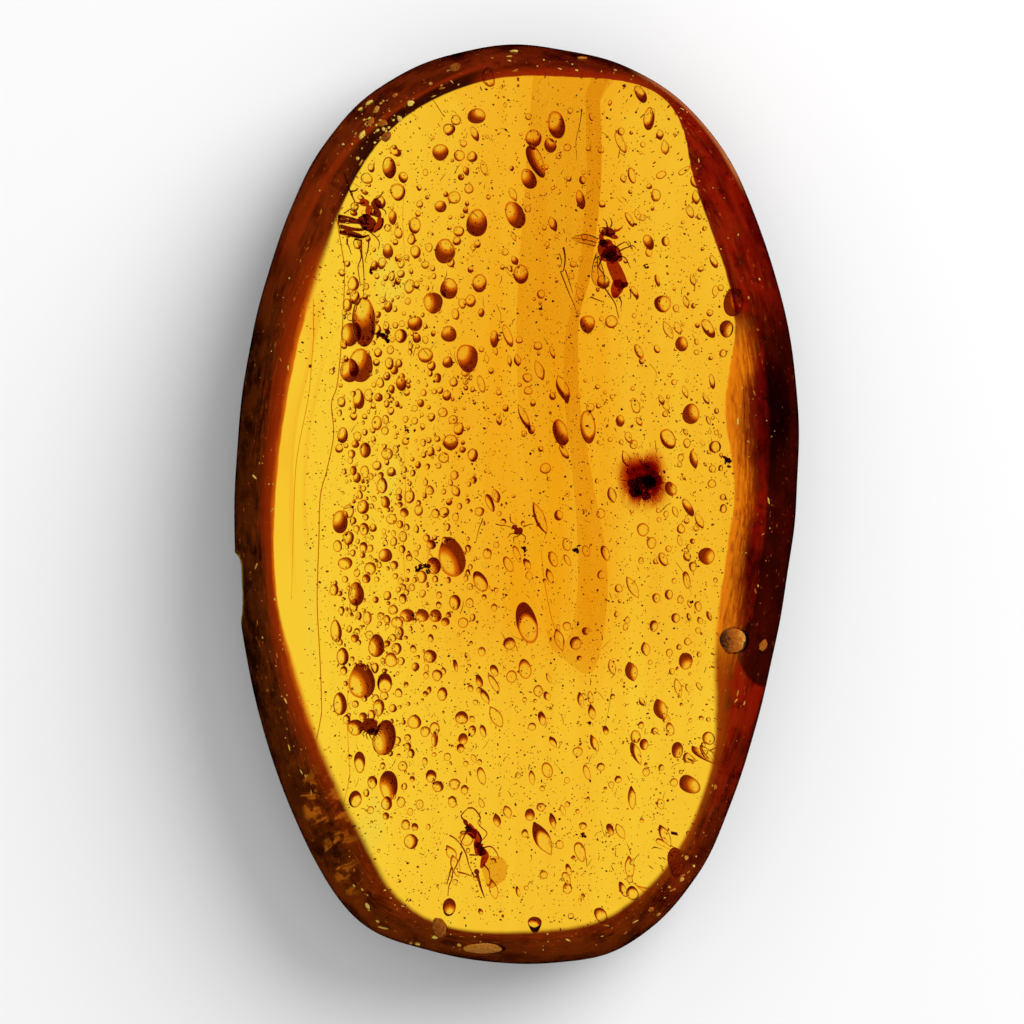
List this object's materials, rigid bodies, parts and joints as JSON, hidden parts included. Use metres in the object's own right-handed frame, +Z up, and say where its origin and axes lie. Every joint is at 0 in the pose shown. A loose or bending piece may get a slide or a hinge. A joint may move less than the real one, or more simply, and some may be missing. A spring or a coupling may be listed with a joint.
{
  "type": "insect in amber",
  "caption": "Polished oval pebble of clear honey-gold amber with insects, gas bubbles and flow lines sealed inside, lying flat on its base.",
  "frame": {"origin": "middle of the flat base, on the surface that the piece lies on", "axes": "+Z up out of the clear window, +Y along the length towards the end with the winged insect, +X across"},
  "size_m": [0.0258, 0.042, 0.008],
  "materials": {
    "amber": "polished clear honey-gold resin, darkened to red-brown where its weathered skin is left on the sides",
    "insect_shell": "dark brown to orange-brown insect cuticle, satin",
    "insect_wing": "thin see-through brown wing membrane with darker veins",
    "gas_bubble": "smooth empty bubbles sealed in the resin",
    "resin_flow": "darker orange film between two flows of resin",
    "plant_debris": "dark specks, fibres and a rotted smear of plant matter, matt"
  },
  "bodies": {
    "root": {"amber": "amber"}
  },
  "joints": []
}
